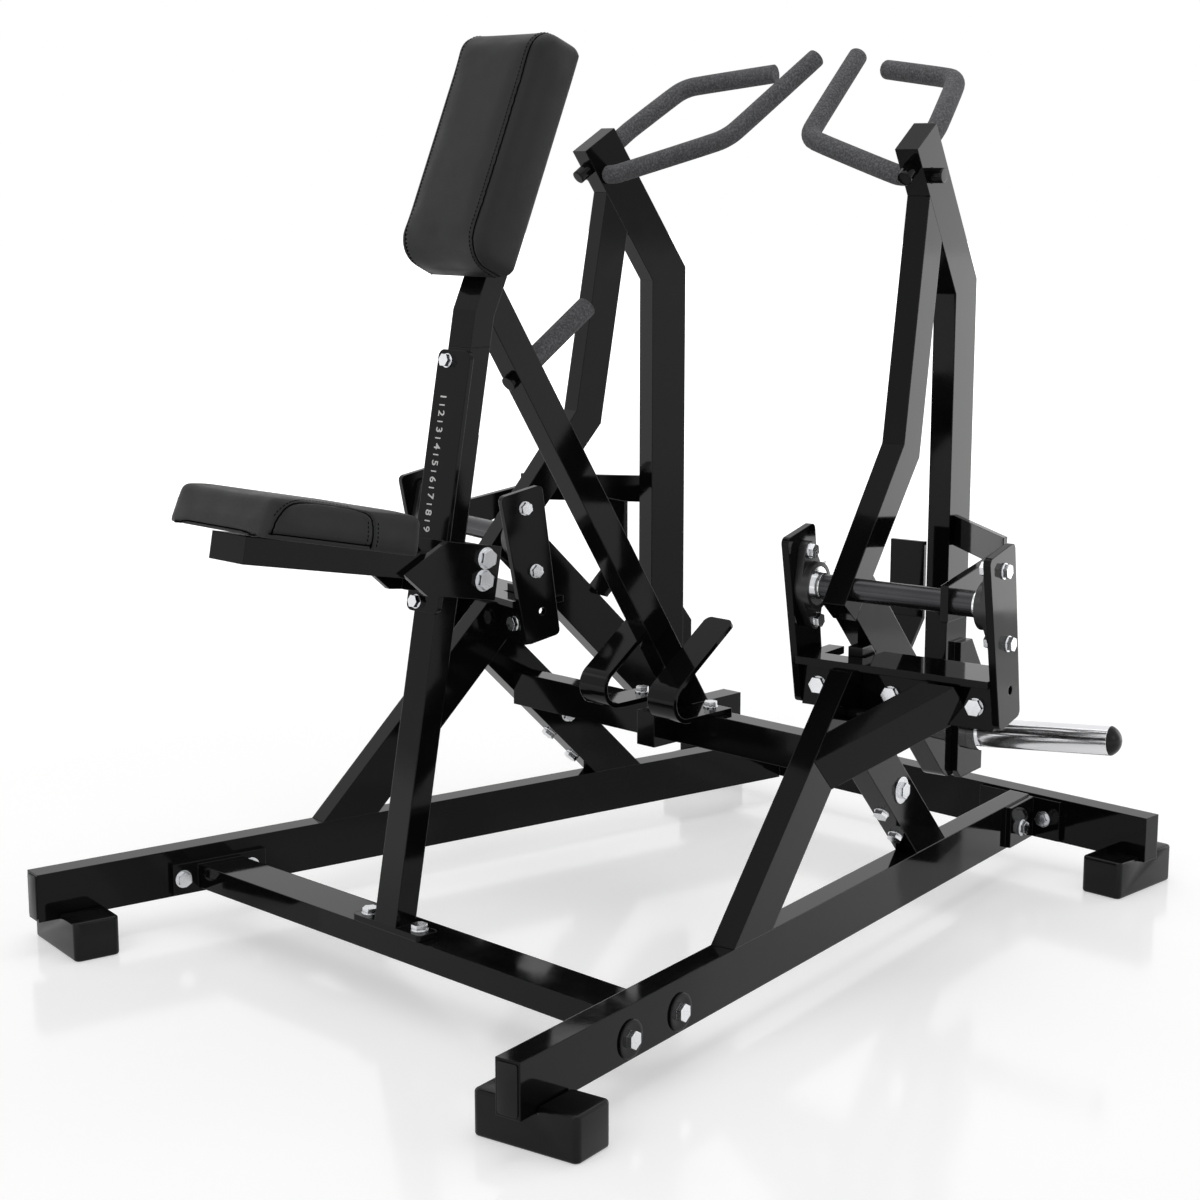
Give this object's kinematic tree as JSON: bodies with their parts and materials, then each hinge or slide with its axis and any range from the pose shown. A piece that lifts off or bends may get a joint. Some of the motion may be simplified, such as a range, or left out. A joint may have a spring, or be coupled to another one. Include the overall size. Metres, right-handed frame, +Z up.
{
  "type": "plate-loaded seated row",
  "caption": "Seated chest-supported row with two independent plate-loaded levers, bent handles, adjustable seat and sloped foot rests on a tubular floor frame",
  "frame": {"origin": "Floor level, on the plane of symmetry, under the middle of the length", "axes": "+X to the right of a person who sits on the seat, +Y the way that person faces, toward the chest pad and the rear beam, +Z up"},
  "size_m": [1.3524, 1.6606, 1.4682],
  "materials": {
    "black_paint": "gloss black powder coat",
    "upholstery": "fine-grained satin black upholstery",
    "board": "matt black backing board",
    "rubber": "black moulded rubber",
    "foam_grip": "dark grey textured grip",
    "zinc": "bright zinc",
    "bearing_steel": "ground bearing steel",
    "bearing_housing": "black painted casting",
    "shaft_steel": "dark gunmetal",
    "chrome": "polished hard chrome",
    "cap": "black moulded cap"
  },
  "bodies": {
    "frame": {"left_rail": "black_paint", "right_rail": "black_paint", "left_front_strut": "black_paint", "right_front_strut": "black_paint", "left_rear_strut": "black_paint", "right_rear_strut": "black_paint", "left_branch_tube": "black_paint", "right_branch_tube": "black_paint", "left_inner_plate": "black_paint", "right_inner_plate": "black_paint", "left_outer_plate": "black_paint", "right_outer_plate": "black_paint", "left_shelf": "black_paint", "right_shelf": "black_paint", "left_bearings": "bearing_housing", "right_bearings": "bearing_housing", "left_cross_beam": "black_paint", "right_cross_beam": "black_paint", "left_foot_rest": "black_paint", "right_foot_rest": "black_paint", "front_cross_tube": "black_paint", "rear_beam": "black_paint", "rubber_feet": "rubber", "seat_post": "black_paint", "guide_plate": "black_paint", "chest_tube": "black_paint", "chest_board": "board", "chest_pad": "upholstery", "centre_strut": "black_paint", "chest_bar": "black_paint", "chest_grip": "foam_grip", "centre_box": "black_paint", "band_pegs": "black_paint", "lever_stops": "rubber", "frame_bolts": "zinc"},
    "right_lever": {"right_front_tube": "black_paint", "right_rear_tube": "black_paint", "right_arm": "black_paint", "right_shaft": "shaft_steel", "right_bearing_inserts": "bearing_steel", "right_brace": "black_paint", "right_horn": "chrome", "right_horn_cap": "cap", "right_handle_bars": "black_paint", "right_grips": "foam_grip"},
    "left_lever": {"left_front_tube": "black_paint", "left_rear_tube": "black_paint", "left_arm": "black_paint", "left_shaft": "shaft_steel", "left_bearing_inserts": "bearing_steel", "left_brace": "black_paint", "left_horn": "chrome", "left_horn_cap": "cap", "left_handle_bars": "black_paint", "left_grips": "foam_grip"},
    "seat": {"seat_carriage": "black_paint", "seat_tube": "black_paint", "seat_board": "board", "seat_pad": "upholstery", "seat_bolts": "zinc"}
  },
  "joints": [
    {"name": "right_lever_hinge", "type": "hinge", "parent": "frame", "child": "right_lever", "pos_m": [0.42854, 0.07677, 0.613], "axis": [0.9851, 0.1719, 0], "range_deg": [0, 40]},
    {"name": "left_lever_hinge", "type": "hinge", "parent": "frame", "child": "left_lever", "pos_m": [-0.42854, 0.07677, 0.613], "axis": [0.9851, -0.1719, 0], "range_deg": [0, 40]},
    {"name": "seat_slide", "type": "slide", "parent": "frame", "child": "seat", "axis": [0, 0.1874, 0.9823], "range_m": [0, 0.2032]}
  ]
}
